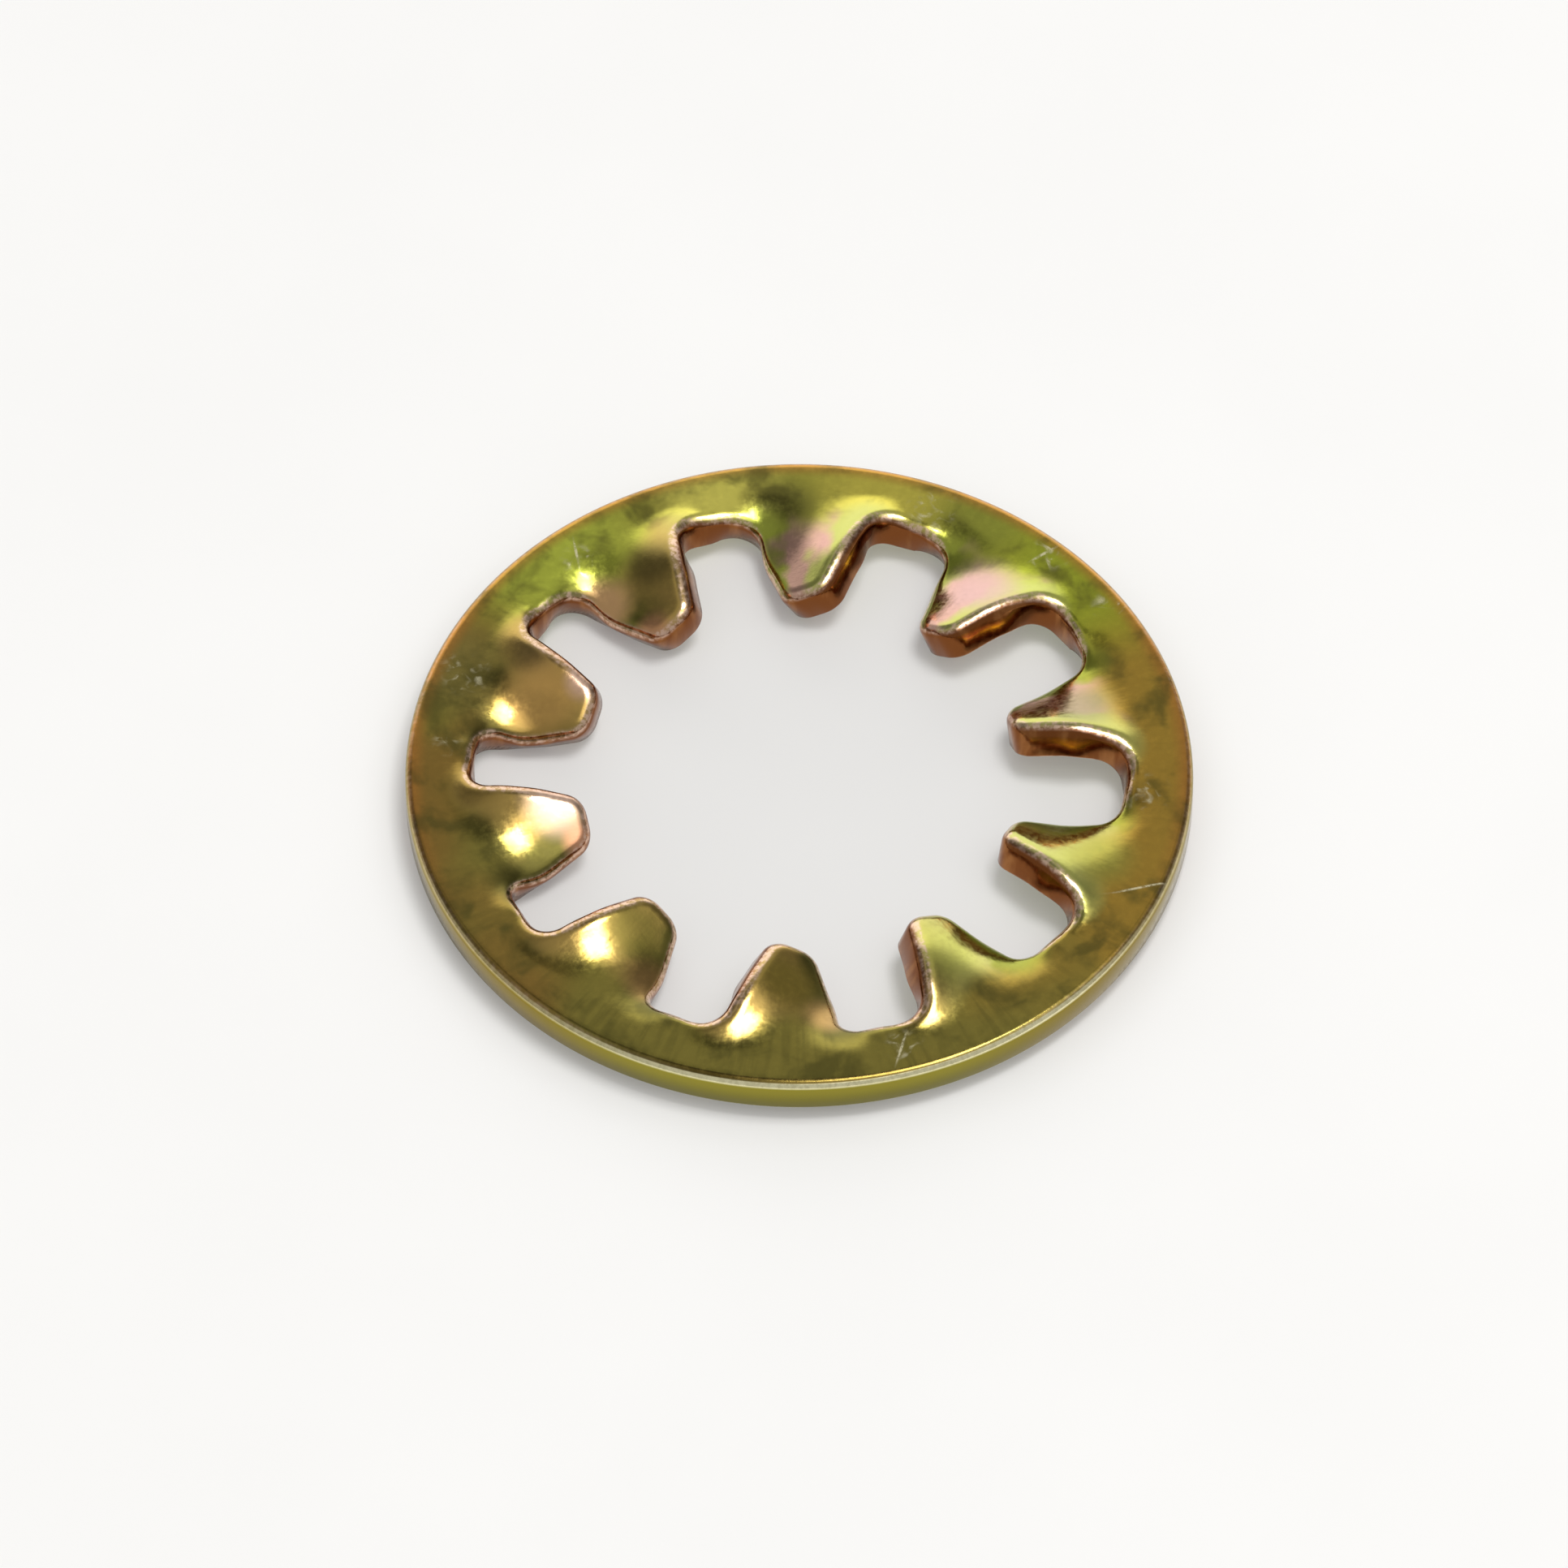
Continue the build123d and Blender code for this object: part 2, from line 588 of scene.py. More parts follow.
    def colour(self, spot: Spot, brushing: Socket) -> Socket:
        """Colour of the plate's flat and bent faces, with painted highlights and painted shade
        on the blades.

        Args:
            spot: Where the point lies.
            brushing: Socket of the fine radial strokes.

        Returns:
            The colour's socket.
        """
        nodes = spot.nodes
        drift = nodes.swing(spot.solid, self.drift, self.drift_reach)
        far, aside = nodes.plus(spot.away, drift), nodes.plus(spot.right, drift)
        colour = nodes.mix(nodes.ease(far, self.to_back), self.front, self.back)
        colour = nodes.mix(nodes.ease(aside, self.to_left), colour, self.left)
        colour = nodes.mix(nodes.ease(aside, self.to_right), colour, self.right)
        colour = self._glazed(spot, colour, self.ring_glazes)
        orange = nodes.times(nodes.ease(spot.radius, self.near_rim),
                             nodes.ease(spot.away, self.orange_away), self.orange_share)
        colour = nodes.mix(orange, colour, self.rim_orange)
        clouds = nodes.noise(spot.solid, self.clouds)
        colour = nodes.mix(nodes.ease(clouds, self.cloud_share), colour, self.shade)
        patches = nodes.noise(spot.solid, self.stroke_patches)
        strokes = nodes.times(nodes.ease(brushing, self.stroke_share),
                              nodes.ease(spot.away, self.stroke_away),
                              nodes.ease(patches, self.stroke_patch_share))
        colour = nodes.mix(strokes, colour, self.shade)
        colour = self._blade_colour(spot, colour)
        # Painted highlights and painted shade on the blades, with their film tints
        return self._glazed(spot, colour, self.blade_glazes)

    def _glazed(self, spot: Spot, colour: Socket,
                glazes: tuple[Glaze, ...]) -> Socket:
        """Lay soft patches of film over a colour.

        Args:
            spot: Where the point lies.
            colour: Socket of the colour beneath.
            glazes: The patches, the last on top.

        Returns:
            The colour's socket.
        """
        nodes = spot.nodes
        for glaze in glazes:
            fade = Ease(self.glaze_core * glaze.reach, glaze.reach, glaze.share, 0.0)
            gap = nodes.gap(spot.flat, glaze.right, glaze.away)
            colour = nodes.mix(nodes.ease(gap, fade), colour, glaze.colour)
        return colour

    def _blade_colour(self, spot: Spot, ring: Socket) -> Socket:
        """Lay bands of film tint and painted light over the bent blades, side by side across
        each tooth: painted highlights towards the back and right of the view, painted shade
        towards the front and left.

        Args:
            spot: Where the point lies.
            ring: Socket of the colour that the blades grow out of.

        Returns:
            The colour's socket.
        """
        nodes = spot.nodes
        twist = nodes.attribute(CutAttribute.TWIST)
        band = nodes.plus(nodes.attribute(CutAttribute.ACROSS),
                          nodes.swing(spot.solid, self.waver, self.waver_reach))
        pink_share = nodes.times(nodes.ease(band, self.pink_across),
                                 nodes.ease(spot.away, self.pink_away))
        bright = nodes.mix(pink_share, self.pale_green, self.pink)
        bright = nodes.mix(nodes.ease(band, self.green_across), bright, self.green)
        shade_side = nodes.mix(nodes.ease(band, self.shade_across), self.blade, self.shade)
        # Painted light: blades towards the back and right get the painted highlight, those
        # towards the front and left the painted shade
        lean = nodes.plus(nodes.times(spot.away, self.lit_lean), spot.right)
        film = nodes.mix(nodes.ease(lean, self.lit_side), shade_side, bright)
        return nodes.mix(nodes.ease(twist, self.blade_share), ring, film)


@dataclass(frozen=True)
class PunchedWalls:
    """Colour of the punched walls: copper in the slots, olive round the rim."""

    copper: Colour = (0.225, 0.075, 0.021)
    copper_light: Colour = (0.36, 0.150, 0.050)
    rim_wall: Colour = (0.30, 0.26, 0.034)
    rim_foot: Colour = (0.17, 0.150, 0.018)
    rim_side: Colour = (0.27, 0.180, 0.018)
    streak_scale: tuple[float, float, float] = (1, 1, 0.2)
    streaks: Grain = Grain(3.0, 3.0)
    streak_share: Ease = Ease(0.45, 0.7)
    foot_height: Ease = Ease(0.42, 0.90)
    side_share: Ease = Ease(2.5, 6.0, 0.0, 0.8)
    on_rim: Ease = Ease(6.9, 7.2)

    def colour(self, spot: Spot) -> Socket:
        """Draw the walls' colour.

        Args:
            spot: Where the point lies.

        Returns:
            The colour's socket.
        """
        nodes = spot.nodes
        stretched = nodes.add("ShaderNodeMapping", {"Vector": spot.solid,
                                                    "Scale": self.streak_scale})
        streaks = nodes.noise(stretched.outputs["Vector"], self.streaks)
        slots = nodes.mix(nodes.ease(streaks, self.streak_share), self.copper,
                          self.copper_light)
        height = nodes.parts(spot.solid)["Z"]
        rim = nodes.mix(nodes.ease(height, self.foot_height), self.rim_foot, self.rim_wall)
        aside = nodes.combine("ABSOLUTE", spot.right)
        rim = nodes.mix(nodes.ease(aside, self.side_share), rim, self.rim_side)
        return nodes.mix(nodes.ease(spot.radius, self.on_rim), slots, rim)


@dataclass(frozen=True)
class PunchedEdges:
    """The rounded edges: rubbed bright and given painted glints, with a painted dark reflection
    and a painted highlight line at the front rim.
    """

    # Partly rubbed wear and partly painted glint along the edges, then a painted highlight line
    # and a painted dark reflection at the front rim
    rubbed: Colour = (0.90, 0.64, 0.50)
    rim_line: Colour = (1.0, 0.94, 0.60)
    rim_lip: Colour = (0.12, 0.085, 0.020)
    rubbed_from: Ease = Ease(0.02, 0.12)
    rubbed_to: Ease = Ease(0.35, 0.7, 1.0, 0.0)
    rubbed_grain: Ease = Ease(0.40, 0.60, 0.15, 0.75)
    less_on_rim: Ease = Ease(6.9, 7.2, 1.0, 0.3)
    on_rim: Ease = Ease(6.9, 7.2)
    in_front: Ease = Ease(-2.5, 0.5, 1.0, 0.0)
    lip_from: Ease = Ease(0.002, 0.02)
    lip_to: Ease = Ease(0.16, 0.24, 1.0, 0.0)
    lip_aside: Ease = Ease(1.5, 4.5, 1.0, 0.3)
    line_from: Ease = Ease(0.15, 0.25)
    line_to: Ease = Ease(0.50, 0.80, 1.0, 0.0)
    line_grain: Ease = Ease(0.35, 0.60, 0.8, 1.0)
    line_left: Ease = Ease(-6.0, -1.5, 0.25, 1.0)
    line_right: Ease = Ease(4.5, 7.0, 1.0, 0.3)

    def laid_over(self, spot: Spot, colour: Socket) -> Socket:
        """Lay the edges' colours over the plate's: rubbed wear with painted glints, and on the
        front rim a painted dark reflection and a painted highlight line.

        Args:
            spot: Where the point lies.
            colour: Socket of the colour beneath.

        Returns:
            The colour's socket.
        """
        nodes = spot.nodes
        # Partly rubbed wear, partly painted glints where the rounded edges catch the light
        rubbed = nodes.times(nodes.ease(spot.cut, self.rubbed_from),
                             nodes.ease(spot.cut, self.rubbed_to),
                             nodes.ease(spot.grain, self.rubbed_grain),
                             nodes.ease(spot.radius, self.less_on_rim))
        colour = nodes.mix(rubbed, colour, self.rubbed)
        front_rim = nodes.times(nodes.ease(spot.radius, self.on_rim),
                                nodes.ease(spot.away, self.in_front))
        aside = nodes.combine("ABSOLUTE", spot.right)
        # Painted dark reflection on the upper part of the front rim's rounded edge
        dark_reflection = nodes.times(front_rim, nodes.ease(spot.cut, self.lip_from),
                          nodes.ease(spot.cut, self.lip_to),
                          nodes.ease(aside, self.lip_aside))
        colour = nodes.mix(dark_reflection, colour, self.rim_lip)
        # Painted highlight line lower on the front rim's rounded edge, speckled by the grain
        line = nodes.times(front_rim, nodes.ease(spot.cut, self.line_from),
                           nodes.ease(spot.cut, self.line_to),
                           nodes.ease(spot.grain, self.line_grain),
                           nodes.ease(spot.right, self.line_left),
                           nodes.ease(spot.right, self.line_right))
        return nodes.mix(line, colour, self.rim_line)


@dataclass(frozen=True)
class Wear:
    """Scuffs and clusters of flecks where the film is rubbed through."""

    colour: Colour = (0.80, 0.74, 0.50)
    scuff_fade: Ease = Ease(0.3, 1.4, 0.8, 0.0)
    scuff_grain: Ease = Ease(0.38, 0.55, 0.35, 1.0)
    cluster_core: float = 0.3
    chips: Grain = Grain(3.6, 2.0, 0.5, 0.8)
    chip_share: Ease = Ease(0.50, 0.72, 0.0, 0.75)
    off_walls: Ease = Ease(0.2, 0.5, 1.0, 0.0)
    scuffs: tuple[Scuff, ...] = (
        Scuff(-4.28, 5.22, 0.34, 0.030, 100),
        Scuff(4.72, 5.18, 0.32, 0.035, 35),
        Scuff(6.45, -2.86, 0.62, 0.028, 14),
        Scuff(1.90, -6.60, 0.40, 0.030, 75))
    flecks: tuple[Fleck, ...] = (
        Fleck(4.78, 5.15, 0.50), Fleck(2.60, 6.28, 0.60), Fleck(-4.20, 5.05, 0.45),
        Fleck(-6.40, 2.30, 0.60), Fleck(-6.70, 0.60, 0.35), Fleck(5.95, 3.90, 0.40),
        Fleck(6.60, -0.60, 0.55), Fleck(1.95, -6.55, 0.45))

    def share(self, spot: Spot) -> Socket:
        """Share of worn plating at a point, none on the punched walls.

        Args:
            spot: Where the point lies.

        Returns:
            The share's socket.
        """
        nodes = spot.nodes
        scuffed: Number = 0.0
        for mark in self.scuffs:
            local = nodes.add("ShaderNodeMapping", {
                "Vector": spot.flat, "Location": (mark.right, mark.away, 0),
                "Rotation": (0, 0, math.radians(mark.turn)),
                "Scale": (mark.length, mark.width, 1)}, vector_type="TEXTURE")
            reach = nodes.length(local.outputs["Vector"])
            scuffed = nodes.combine("MAXIMUM", scuffed, nodes.ease(reach, self.scuff_fade))
        scuffed = nodes.times(scuffed, nodes.ease(spot.grain, self.scuff_grain))
        flecked: Number = 0.0
        for cluster in self.flecks:
            fade = Ease(self.cluster_core * cluster.reach, cluster.reach, 1.0, 0.0)
            gap = nodes.gap(spot.flat, cluster.right, cluster.away)
            flecked = nodes.combine("MAXIMUM", flecked, nodes.ease(gap, fade))
        chips = nodes.ease(nodes.noise(spot.flat, self.chips), self.chip_share)
        worn = nodes.combine("MAXIMUM", scuffed, nodes.times(flecked, chips))
        return nodes.times(worn, nodes.ease(spot.cut, self.off_walls))


@dataclass(frozen=True)
class YellowPlating:
    """Yellow chromate over zinc: a metal mirror under a thin film of uneven colour, with painted
    highlights and painted shade on the blades and edges.
    """

    view: View
    film: PlateFilm = field(default_factory=PlateFilm)
    walls: PunchedWalls = field(default_factory=PunchedWalls)
    edges: PunchedEdges = field(default_factory=PunchedEdges)
    wear: Wear = field(default_factory=Wear)
    grain: Grain = Grain(9.0, 4.0, 0.65)
    on_walls: Ease = Ease(0.12, 0.5)
    roughness: Ease = Ease(0.3, 0.7, 0.10, 0.22)
    worn_roughness: float = 0.2
    strokes: Grain = Grain(1.0, 2.0)
    strokes_around: float = 38.0
    strokes_outwards: float = 0.6
    grain_relief: float = 0.6
    stroke_relief: float = 0.8
    relief_strength: float = 0.2
    relief_depth: float = 0.012

    def material(self) -> bpy.types.Material:
        """Build the plated finish of the whole washer.

        Returns:
            The material.
        """
        material = bpy.data.materials.new("yellow_zinc_plating")
        material.use_nodes = True
        nodes = Nodes(material.node_tree)
        spot = Spot.read(nodes, self.view.azimuth, self.grain)
        brushing = self._brushing(spot)
        colour = nodes.mix(nodes.ease(spot.cut, self.on_walls),
                           self.film.colour(spot, brushing),
                           self.walls.colour(spot))
        colour = self.edges.laid_over(spot, colour)
        worn = self.wear.share(spot)
        colour = nodes.mix(worn, colour, self.wear.colour)
        roughness = nodes.plus(nodes.ease(spot.grain, self.roughness),
                               nodes.times(worn, self.worn_roughness))
        relief = nodes.plus(nodes.times(spot.grain, self.grain_relief),
                            nodes.times(brushing, self.stroke_relief))
        bump = nodes.add("ShaderNodeBump", {"Height": relief, "Strength": self.relief_strength,
                                            "Distance": self.relief_depth * MM})
        shader = nodes.add("ShaderNodeBsdfPrincipled", {
            "Base Color": colour, "Metallic": 1.0, "Roughness": roughness,
            "Normal": bump.outputs["Normal"]})
        nodes.add("ShaderNodeOutputMaterial", {"Surface": shader.outputs["BSDF"]})
        return material

    def _brushing(self, spot: Spot) -> Socket:
        """Draw fine radial strokes.

        Args:
            spot: Where the point lies.

        Returns:
            The socket of the strokes' number, from 0 to 1.
        """
        nodes = spot.nodes
        around = nodes.add("ShaderNodeVectorMath", {0: spot.flat}, operation="NORMALIZE")
        stretched = nodes.add("ShaderNodeVectorMath", {
            0: around.outputs[0], "Scale": self.strokes_around}, operation="SCALE")
        parts = nodes.parts(stretched.outputs[0])
        lines = nodes.add("ShaderNodeCombineXYZ", {
            "X": parts["X"], "Y": parts["Y"],
            "Z": nodes.times(spot.radius, self.strokes_outwards)})
        return nodes.noise(lines.outputs[0], self.strokes)


@dataclass
class LockWasher:
    """The washer itself: one stamped, bent and plated plate, in millimetres.

    Attributes:
        edge_margin: Width of the row of faces along each punched edge.
        radial_rows: How many cuts divide the plan between its two edge rows.
        fan: How strongly the rim's points crowd towards the tooth's middle line.
        shape: The mesh while it is made.
    """

    plating: YellowPlating
    outline: ToothOutline = field(default_factory=ToothOutline)
    bend: ToothBend = field(default_factory=ToothBend)
    thickness: float = 0.7
    edge_margin: float = 0.29
    rim_edge_radius: float = 0.18
    rim_edge_steps: int = 6
    slot_edge_radius: float = 0.23
    slot_edge_steps: int = 5
    lower_edge_radius: float = 0.045
    lower_edge_steps: int = 2
    sharp_angle: float = math.radians(60)
    radial_rows: int = 16
    fan: float = 0.65
    weld: float = 0.001
    outer_radius: float = field(init=False)
    middle_height: float = field(init=False)
    shape: bmesh.types.BMesh = field(init=False)

    def __post_init__(self) -> None:
        """Take the outer radius and the middle height from the frame, and start the mesh."""
        low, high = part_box(NODE)
        self.outer_radius = (high[0] - low[0]) / 2 / MM
        self.middle_height = (high[2] + low[2]) / 2 / MM
        self.shape = bmesh.new()

    def build(self) -> bpy.types.Object:
        """Make the washer's object, dressed and riding on the frame.

        Returns:
            The washer's object.
        """
        self._half_tooth()
        self._whole_ring()
        self._thicken()
        self._round_edges()
        self._write_attributes()
        self._bend_teeth()
        shape = self.shape
        bmesh.ops.translate(shape, vec=(0, 0, self.middle_height), verts=shape.verts)
        bmesh.ops.scale(shape, vec=(MM, MM, MM), verts=shape.verts)
        for face in shape.faces:
            face.smooth = True
        mesh = bpy.data.meshes.new("toothed_washer")
        shape.to_mesh(mesh)
        shape.free()
        mesh.materials.append(self.plating.material())
        washer = bpy.data.objects.new("toothed_washer", mesh)
        bpy.context.scene.collection.objects.link(washer)
        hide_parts(NODE)
        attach(washer, "root")
        return washer

    def _half_tooth(self) -> None:
        """Make the flat plan of half a tooth, from its outline out to the rim."""
        shape = self.shape
        points = self.outline.half_points()
        row = [shape.verts.new(point.to_3d()) for point in points]
        edges = [shape.edges.new(pair) for pair in zip(row, row[1:])]
        directions = self._rim_directions(points)
        rim_inset = [way * (self.outer_radius - self.edge_margin) for way in directions]
        rim = [way * self.outer_radius for way in directions]
        edges, row, _ = self._next_row(shape, edges, row, self._inset(points))
        edges, row, middle = self._next_row(shape, edges, row, rim_inset)
        self._next_row(shape, edges, row, rim)
        bmesh.ops.subdivide_edges(shape, edges=middle, cuts=self.radial_rows,
                                  use_grid_fill=True)
        log.info("half tooth: %d points, %d faces", len(points), len(shape.faces))

    def _inset(self, points: list[Vector]) -> list[Vector]:
        """Move the outline into the plate by the edge margin.

        Args:
            points: The outline.

        Returns:
            The moved points, with both ends kept on their middle lines.
        """
        last = len(points) - 1
        inset = []
        for index, point in enumerate(points):
            before, after = points[max(index - 1, 0)], points[min(index + 1, last)]
            along = (after - before).normalized()
            inset.append(point + Vector((along.y, -along.x)) * self.edge_margin)
        inset[0] = points[0] + Vector((self.edge_margin, 0))
        inset[last] = points[last] + points[last].normalized() * self.edge_margin
        return inset

    def _rim_directions(self, points: list[Vector]) -> list[Vector]:
        """Spread the outline's points over the rim.

        Args:
            points: The outline.

        Returns:
            For each point, the unit direction of its partner on the rim.
        """
        lengths = [0.0]
        for before, after in zip(points, points[1:]):
            lengths.append(lengths[-1] + (after - before).length)
        shares = [length / lengths[-1] for length in lengths]
        angles = [self.outline.half_pitch * share * (1 - self.fan * (1 - share**3))
                  for share in shares]
        return [Vector((math.cos(angle), math.sin(angle))) for angle in angles]

    @staticmethod
    def _next_row(shape: bmesh.types.BMesh, edges: Edges, verts: Verts,
                  places: list[Vector]) -> tuple[Edges, Verts, Edges]:
        """Extrude a row of edges and move its new vertices.

        Args:
            shape: The mesh to extend.
            edges: The last row's edges.
            verts: The last row's vertices, in order.
            places: Where the new vertices go, in the same order.

        Returns:
            The new row's edges, its vertices in order, and the edges that join the rows.
        """
        made = bmesh.ops.extrude_edge_only(shape, edges=edges)["geom"]
        new_verts = {item for item in made if isinstance(item, bmesh.types.BMVert)}
        joins = [next(edge for edge in vert.link_edges if edge.other_vert(vert) in new_verts)
                 for vert in verts]
        row = [join.other_vert(vert) for join, vert in zip(joins, verts)]
        for vert, place in zip(row, places):
            vert.co = place.to_3d()
        row_edges = [next(edge for edge in first.link_edges if edge.other_vert(first) is second)
                     for first, second in zip(row, row[1:])]
        return row_edges, row, joins

    def _whole_ring(self) -> None:
        """Mirror the half tooth and spin it round the washer's axis."""
        shape = self.shape
        geometry = shape.verts[:] + shape.edges[:] + shape.faces[:]
        bmesh.ops.mirror(shape, geom=geometry, matrix=Matrix.Identity(4), merge_dist=self.weld,
                         axis="Y")
        bmesh.ops.remove_doubles(shape, verts=shape.verts, dist=self.weld)
        geometry = shape.verts[:] + shape.edges[:] + shape.faces[:]
        copies = self.outline.teeth - 1
        bmesh.ops.spin(shape, geom=geometry, cent=(0, 0, 0), axis=UP, dvec=(0, 0, 0),
                       angle=FULL_TURN * copies / self.outline.teeth, steps=copies,
                       use_duplicate=True)
        bmesh.ops.remove_doubles(shape, verts=shape.verts, dist=self.weld)
        bmesh.ops.recalc_face_normals(shape, faces=shape.faces)
        if shape.faces[0].normal.z < 0:
            bmesh.ops.reverse_faces(shape, faces=shape.faces)

    def _thicken(self) -> None:
        """Give the flat plan the plate's thickness, half to each side."""
        shape = self.shape
        bottom = shape.verts[:]
        extruded = bmesh.ops.extrude_face_region(shape, geom=shape.faces[:],
                                                 use_keep_orig=True)["geom"]
        top = [item for item in extruded if isinstance(item, bmesh.types.BMVert)]
        half = UP * self.thickness / 2
        bmesh.ops.translate(shape, vec=half, verts=top)
        bmesh.ops.translate(shape, vec=-half, verts=bottom)
        bmesh.ops.recalc_face_normals(shape, faces=shape.faces)
        log.info("thickened: %d faces, closed %s", len(shape.faces),
                 all(edge.is_manifold for edge in shape.edges))

    def _round_edges(self) -> None:
        """Round the punched edges, more on the side that the punch came from."""
        shape = self.shape
        sharp = [edge for edge in shape.edges if edge.calc_face_angle() > self.sharp_angle]
        lower = [edge for edge in sharp if edge.verts[0].co.z < 0]
        upper = [edge for edge in sharp if edge.verts[0].co.z > 0]
        reach = self.outer_radius - self.edge_margin
        rim = [edge for edge in upper if edge.verts[0].co.to_2d().length > reach]
        slots = [edge for edge in upper if edge.verts[0].co.to_2d().length < reach]
        for edges, radius, steps in (
                (rim, self.rim_edge_radius, self.rim_edge_steps),
                (slots, self.slot_edge_radius, self.slot_edge_steps),
                (lower, self.lower_edge_radius, self.lower_edge_steps)):
            bmesh.ops.bevel(shape, geom=edges, offset=radius, offset_type="OFFSET",
                            segments=steps, profile=0.5, affect="EDGES", material=-1,
                            clamp_overlap=False)
        log.info("rounded %d upper and %d lower edges: %d faces", len(upper), len(lower),
                 len(shape.faces))

    def _tooth_place(self, point: Vector) -> tuple[float, float, float]:
        """Place of a point in the plan of its nearest tooth.

        Args:
            point: The point in the washer's plan.

        Returns:
            Distance along and beside the tooth's middle line, and that line's angle.
        """
        pitch = 2 * self.outline.half_pitch
        line = round(math.atan2(point.y, point.x) / pitch) * pitch
        turned = Matrix.Rotation(-line, 2) @ point.to_2d()
        return turned.x, turned.y, line

    def _write_attributes(self) -> None:
        """Note on each vertex of the flat plate where it lies on its tooth and its edges."""
        shape = self.shape
        cut = shape.verts.layers.float.new(CutAttribute.CUT.value)
        twist = shape.verts.layers.float.new(CutAttribute.TWIST.value)
        across = shape.verts.layers.float.new(CutAttribute.ACROSS.value)
        steepest = math.sin(self.bend.twist)
        shape.normal_update()
        for vert in shape.verts:
            x, y, _ = self._tooth_place(vert.co)
            normal = self.bend.normal(x, y)
            vert[cut] = 1 - abs(vert.normal.z)
            vert[twist] = min(math.hypot(normal.x, normal.y) / steepest, 1.0)
            vert[across] = y / self.outline.half_width(x)

    def _bend_teeth(self) -> None:
        """Bend the flat plate: each vertex keeps its distance from the middle surface."""
        shape = self.shape
        for vert in shape.verts:
            x, y, line = self._tooth_place(vert.co)
            normal = Matrix.Rotation(line, 3, "Z") @ self.bend.normal(x, y)
            middle = Vector((vert.co.x, vert.co.y, self.bend.height(x, y)))
            vert.co = middle + normal * vert.co.z


@dataclass(frozen=True)
class PalePaint:
    """The table's matt white, darker under the washer with painted shadow, and glowing a little.
    """

    paint: Colour = (0.690, 0.687, 0.680)
    glow: float = 0.34
    under_washer: Ease = Ease(6.3, 8.6, 0.84, 1.0)
    mottle: Grain = Grain(0.12, 3.0)
    mottle_tone: Ease = Ease(0.3, 0.7, 0.985, 1.0)

    def material(self) -> bpy.types.Material:
        """Build the table's finish.

        Returns:
            The material.
        """
        material = bpy.data.materials.new("pale_table")
        material.use_nodes = True
        nodes = Nodes(material.node_tree)
        place = nodes.millimetres()
        # Painted shadow: darker in the hole and under the ring, times a faint random mottle
        shadow_and_mottle = nodes.times(nodes.ease(nodes.length(place), self.under_washer),
                           nodes.ease(nodes.noise(place, self.mottle), self.mottle_tone))
        paint = nodes.add("ShaderNodeCombineXYZ", {
            name: nodes.times(shadow_and_mottle, part) for name, part in zip("XYZ", self.paint)})
        matt = nodes.add("ShaderNodeBsdfDiffuse", {"Color": paint.outputs[0]})
        rays = nodes.add("ShaderNodeLightPath").outputs
        seen = nodes.combine("MAXIMUM", rays["Is Camera Ray"], rays["Is Glossy Ray"])
        glow = nodes.add("ShaderNodeEmission", {
            "Color": paint.outputs[0], "Strength": nodes.times(seen, self.glow)})
        both = nodes.add("ShaderNodeAddShader", {0: matt.outputs[0], 1: glow.outputs[0]})
        nodes.add("ShaderNodeOutputMaterial", {"Surface": both.outputs[0]})
        return material


@dataclass(frozen=True)
class Glow:
    """A soft bright or dark patch of the room, placed as right, away and up in the view.

    It is full within its core and has faded out at its spread, both in degrees.
    """

    right: float
    away: float
    up: float
    core: float
    spread: float
    strength: float


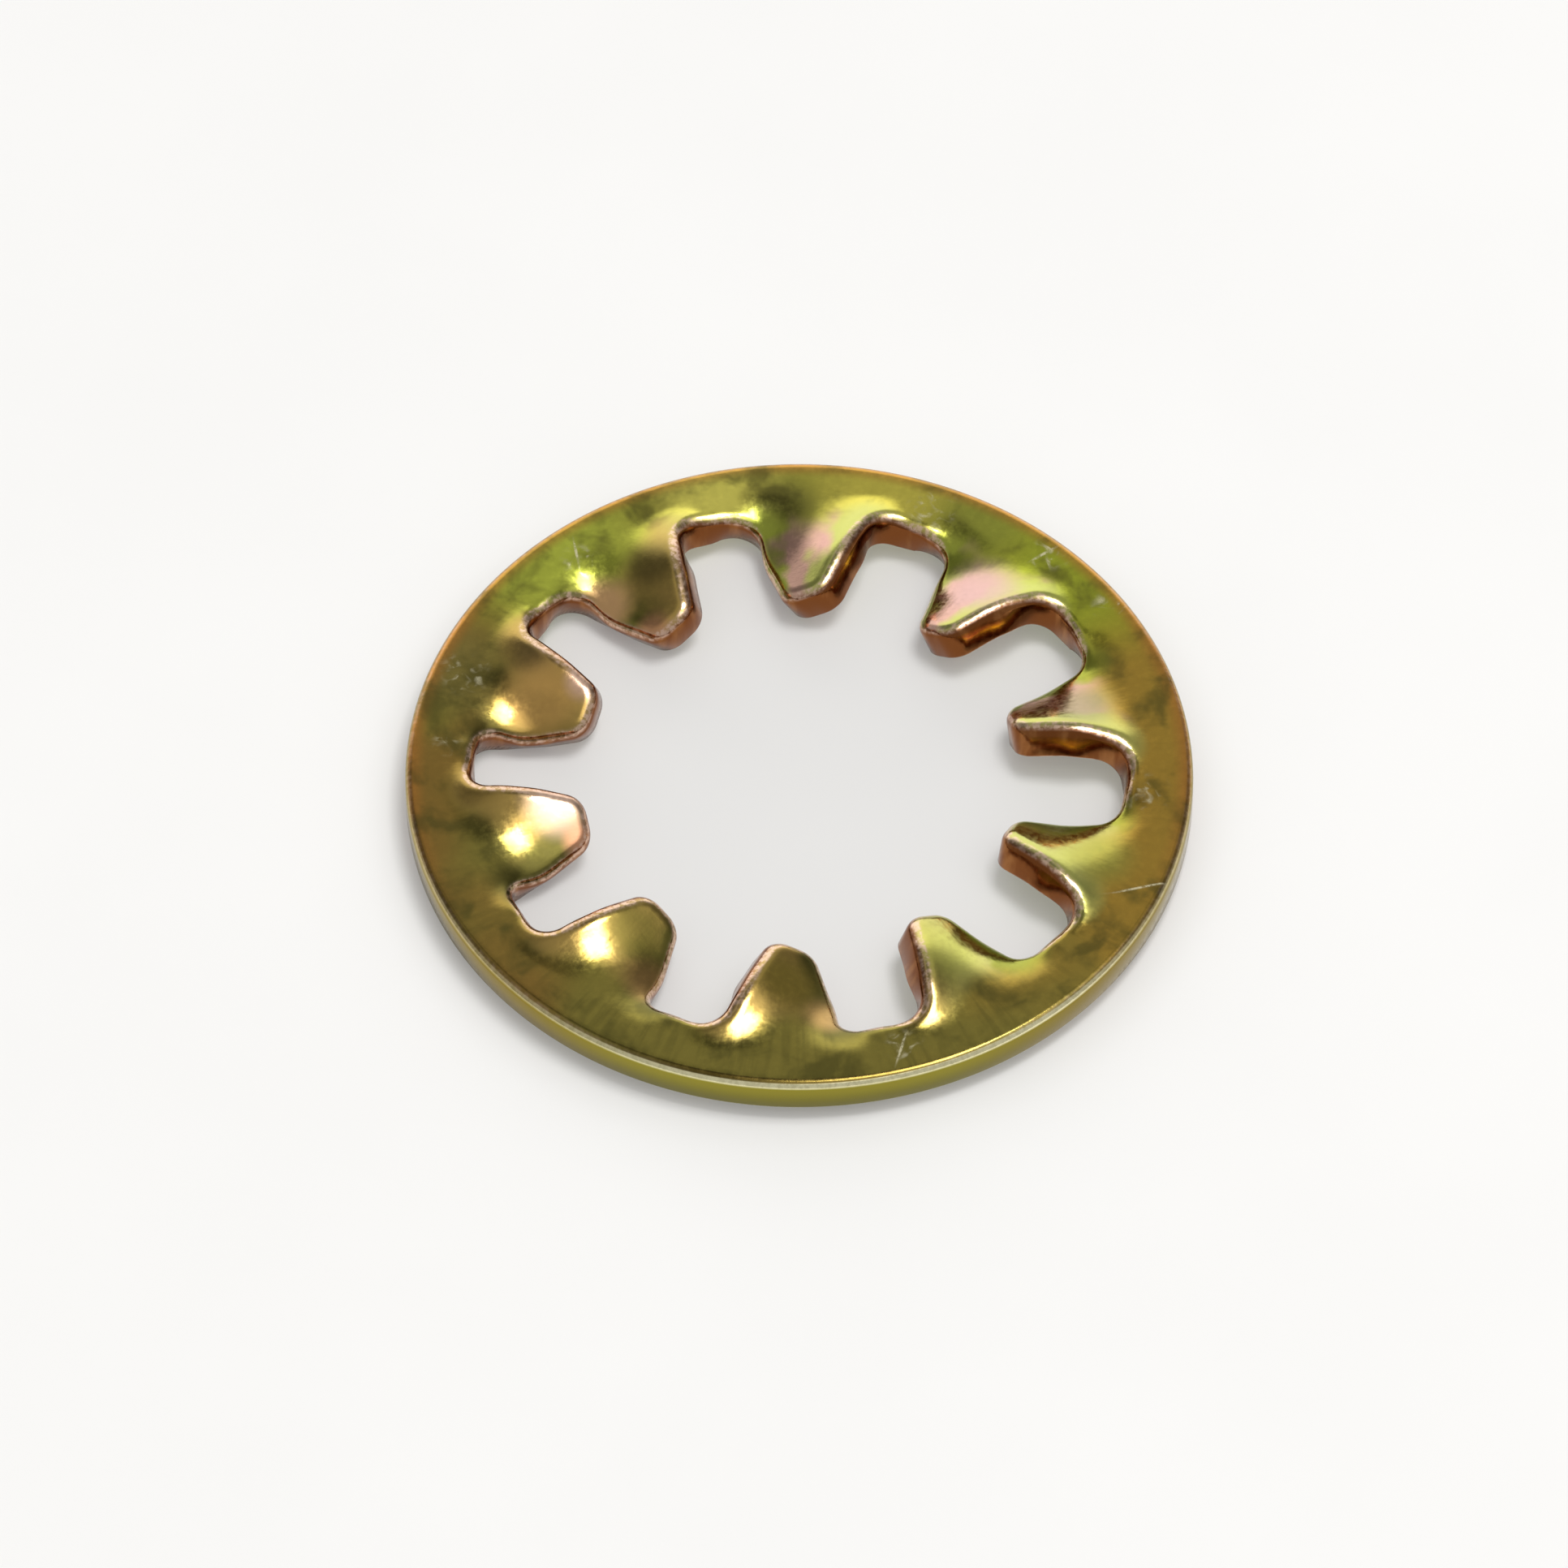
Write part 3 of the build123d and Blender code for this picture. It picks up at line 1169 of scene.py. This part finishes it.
@dataclass(frozen=True)
class Stage:
    """The pale table, the lamp and the room that the washer mirrors."""

    view: View
    paint: PalePaint = field(default_factory=PalePaint)
    floor_half_size: float = 600.0
    room_level: float = 0.46
    room_tint: Colour = (1.0, 0.99, 0.97)
    lamp_way: tuple[float, float, float] = (0.20, -0.03, 0.98)
    lamp_distance: float = 240.0
    lamp_size: float = 80.0
    lamp_brightness: float = 12.0
    glows: tuple[Glow, ...] = (
        Glow(0.33, -0.12, 0.93, 5, 30, 1.0),
        Glow(0.13, -0.40, 0.90, 5, 21, 1.0),
        Glow(-0.12, 0.99, 0.02, 30, 47, 0.95),
        Glow(-0.14, 0.36, 0.92, 2, 15, -0.24),
        Glow(-0.70, 0.38, 0.60, 8, 27, -0.25),
        Glow(0.78, 0.40, 0.48, 8, 27, -0.24))

    def build(self, centre: Vector) -> None:
        """Set the table, the room and the lamp.

        Args:
            centre: Middle of the ring, in millimetres.
        """
        self._table()
        self._room()
        self._lamp(centre)
        bpy.context.scene.view_settings.view_transform = "Standard"

    def _table(self) -> None:
        """Lay the pale surface that the washer rests on."""
        shape = bmesh.new()
        bmesh.ops.create_grid(shape, x_segments=1, y_segments=1,
                              size=self.floor_half_size * MM)
        mesh = bpy.data.meshes.new("table")
        shape.to_mesh(mesh)
        shape.free()
        mesh.materials.append(self.paint.material())
        table = bpy.data.objects.new("table", mesh)
        bpy.context.scene.collection.objects.link(table)

    def _room(self) -> None:
        """Fill the room with an even level and soft patches added to it."""
        world = bpy.data.worlds.new("room")
        bpy.context.scene.world = world
        world.use_nodes = True
        nodes = Nodes(world.node_tree)
        way = nodes.add("ShaderNodeTexCoord").outputs["Generated"]
        level: Number = self.room_level
        for glow in self.glows:
            middle = self.view.turned(glow.right, glow.away, glow.up).normalized()
            nearness = nodes.add("ShaderNodeVectorMath", {0: way, 1: middle},
                                 operation="DOT_PRODUCT").outputs["Value"]
            patch = Ease(math.cos(math.radians(glow.spread)),
                         math.cos(math.radians(glow.core)), 0.0, glow.strength)
            level = nodes.plus(level, nodes.ease(nearness, patch))
        light = nodes.add("ShaderNodeBackground", {"Color": (*self.room_tint, 1.0),
                                                   "Strength": level})
        nodes.add("ShaderNodeOutputWorld", {"Surface": light.outputs[0]})

    def _lamp(self, centre: Vector) -> None:
        """Hang the square lamp over the table.

        Args:
            centre: Middle of the ring, in millimetres.
        """
        data = bpy.data.lights.new("overhead", "AREA")
        data.shape = "SQUARE"
        data.size = self.lamp_size * MM
        data.energy = self.lamp_brightness * math.pi * data.size**2
        lamp = bpy.data.objects.new("overhead", data)
        direction = self.view.turned(*self.lamp_way).normalized()
        lamp.location = (centre + direction * self.lamp_distance) * MM
        lamp.rotation_euler = direction.to_track_quat("Z", "Y").to_euler()
        bpy.context.scene.collection.objects.link(lamp)


def main() -> None:
    """Build the washer, the stage and the camera."""
    logging.basicConfig(level=logging.INFO)
    view = View()
    washer = LockWasher(plating=YellowPlating(view))
    piece = washer.build()
    log.info("piece %s: %d faces", piece.name, len(piece.data.polygons))
    centre = Vector((0, 0, washer.middle_height))
    Stage(view).build(centre)
    view.place_camera(centre)


if __name__ == "__main__":
    main()
